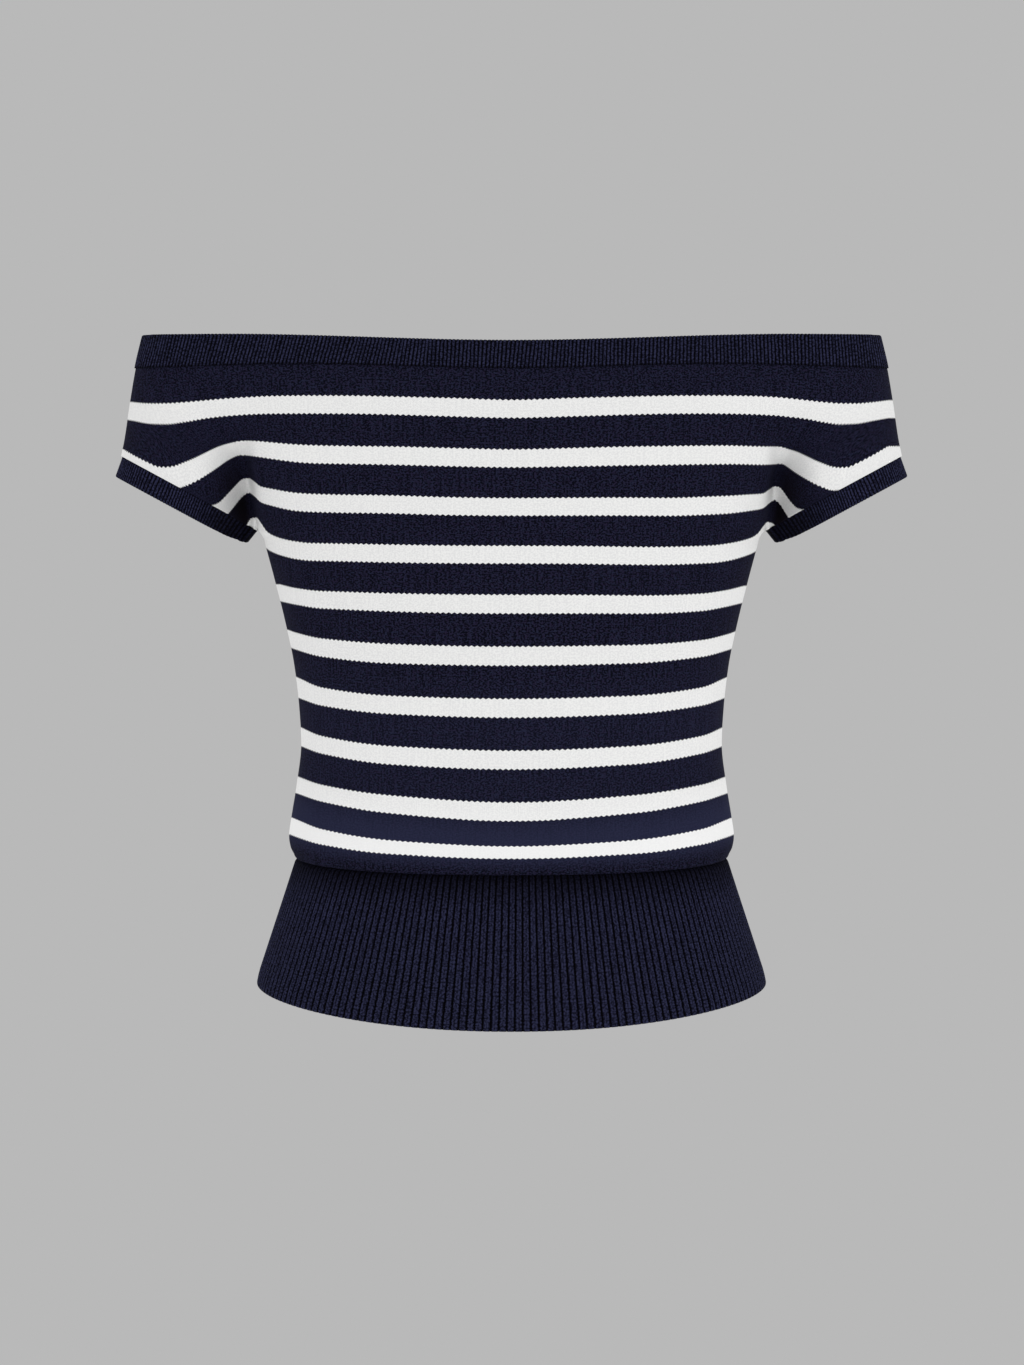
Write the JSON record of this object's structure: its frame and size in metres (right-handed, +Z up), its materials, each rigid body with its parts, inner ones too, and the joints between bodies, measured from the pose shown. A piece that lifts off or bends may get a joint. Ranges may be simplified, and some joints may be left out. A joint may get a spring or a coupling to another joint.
{
  "type": "off-shoulder top",
  "caption": "Striped off-shoulder knitted top with cap sleeves, ribbed neck band, ribbed cuffs and a flared ribbed hem, filled out as worn.",
  "frame": {"origin": "middle of the neck band, on the centre line, halfway from front to back and at the band's half height, where the wearer's shoulders hold the top up", "axes": "+Z up, the front faces -Y, +X towards the wearer's left sleeve"},
  "size_m": [0.4774, 0.2148, 0.4026],
  "materials": {
    "striped_jersey": "smooth fine-gauge knit, soft sheen, off-white stripes on navy",
    "fine_rib": "fine one-by-one rib knit, soft sheen",
    "wide_rib": "wide rib knit, soft sheen"
  },
  "bodies": {
    "root": {"front": "striped_jersey", "back": "striped_jersey", "neck_band": "fine_rib", "cuff_left": "fine_rib", "cuff_right": "fine_rib", "hem_rib": "wide_rib"}
  },
  "joints": []
}
